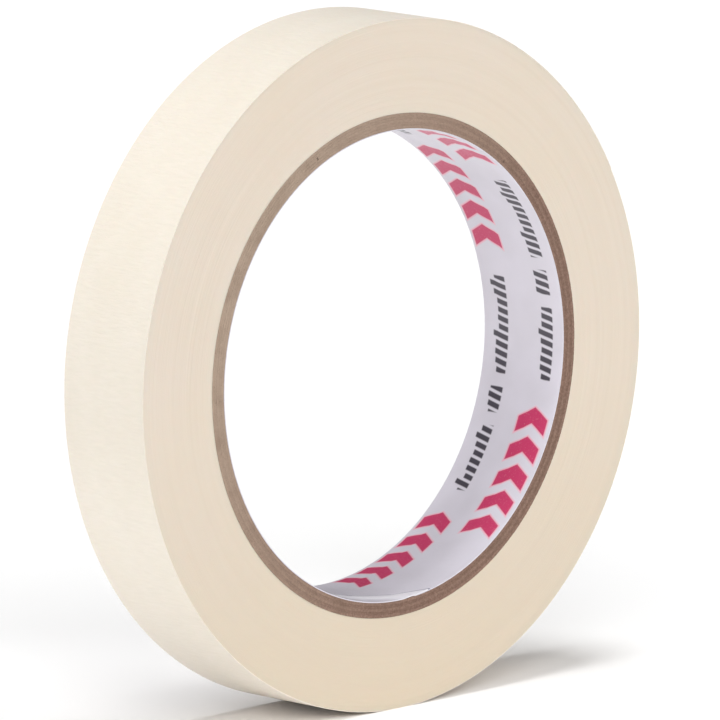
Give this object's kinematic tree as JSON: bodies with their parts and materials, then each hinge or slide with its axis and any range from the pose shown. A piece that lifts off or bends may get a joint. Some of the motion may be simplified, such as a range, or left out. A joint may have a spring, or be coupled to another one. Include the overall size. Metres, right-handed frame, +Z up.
{
  "type": "masking tape roll",
  "caption": "Narrow roll of cream crepe paper masking tape on a spiral-wound paperboard core with a printed liner, and a free tape end that peels back.",
  "frame": {"origin": "centre of the core's bore, halfway across the tape's width", "axes": "+Y along the roll's axis, +Z up with the roll standing on its rim, +X to the side the tape's cut end is on"},
  "size_m": [0.1118, 0.018, 0.1119],
  "materials": {
    "liner_paper": null,
    "paperboard": "grey-brown paperboard, matt, with fibrous cut edges",
    "wound_tape": "cut edges of wound crepe tape, cream, satin",
    "crepe_tape": "cream crepe paper with a fine crosswise crinkle, satin; tacky adhesive underneath"
  },
  "bodies": {
    "root": {"printed_liner": "liner_paper", "core_ply_1": "paperboard", "core_ply_2": "paperboard", "core_ply_3": "paperboard", "core_ply_4": "paperboard", "core_ply_5": "paperboard", "tape_winding": "wound_tape", "tape_last_turn": "crepe_tape"},
    "end_1": {"tape_end_1": "crepe_tape"},
    "end_2": {"tape_end_2": "crepe_tape"},
    "end_3": {"tape_end_3": "crepe_tape"},
    "end_4": {"tape_end_4": "crepe_tape"},
    "end_5": {"tape_end_5": "crepe_tape"},
    "end_6": {"tape_end_6": "crepe_tape"},
    "end_7": {"tape_end_7": "crepe_tape"},
    "end_8": {"tape_end_8": "crepe_tape"}
  },
  "joints": [
    {"name": "peel_line", "type": "hinge", "parent": "root", "child": "end_1", "pos_m": [0.01917, 0, 0.05261], "axis": [0, -1, 0], "range_deg": [0, 72]},
    {"name": "end_bend_2", "type": "hinge", "parent": "end_1", "child": "end_2", "pos_m": [0.0239, 0, 0.05063], "axis": [0, -1, 0], "range_deg": [0, 9]},
    {"name": "end_bend_3", "type": "hinge", "parent": "end_2", "child": "end_3", "pos_m": [0.02844, 0, 0.04824], "axis": [0, -1, 0], "range_deg": [0, 9]},
    {"name": "end_bend_4", "type": "hinge", "parent": "end_3", "child": "end_4", "pos_m": [0.03273, 0, 0.04544], "axis": [0, -1, 0], "range_deg": [0, 9]},
    {"name": "end_bend_5", "type": "hinge", "parent": "end_4", "child": "end_5", "pos_m": [0.03675, 0, 0.04225], "axis": [0, -1, 0], "range_deg": [0, 9]},
    {"name": "end_bend_6", "type": "hinge", "parent": "end_5", "child": "end_6", "pos_m": [0.04046, 0, 0.03872], "axis": [0, -1, 0], "range_deg": [0, 9]},
    {"name": "end_bend_7", "type": "hinge", "parent": "end_6", "child": "end_7", "pos_m": [0.04383, 0, 0.03486], "axis": [0, -1, 0], "range_deg": [0, 9]},
    {"name": "end_bend_8", "type": "hinge", "parent": "end_7", "child": "end_8", "pos_m": [0.04683, 0, 0.0307], "axis": [0, -1, 0], "range_deg": [0, 9]}
  ],
  "couplings": [
    {"joint": "end_bend_2", "follows": "peel_line", "ratio": 0.125},
    {"joint": "end_bend_3", "follows": "peel_line", "ratio": 0.125},
    {"joint": "end_bend_4", "follows": "peel_line", "ratio": 0.125},
    {"joint": "end_bend_5", "follows": "peel_line", "ratio": 0.125},
    {"joint": "end_bend_6", "follows": "peel_line", "ratio": 0.125},
    {"joint": "end_bend_7", "follows": "peel_line", "ratio": 0.125},
    {"joint": "end_bend_8", "follows": "peel_line", "ratio": 0.125}
  ]
}
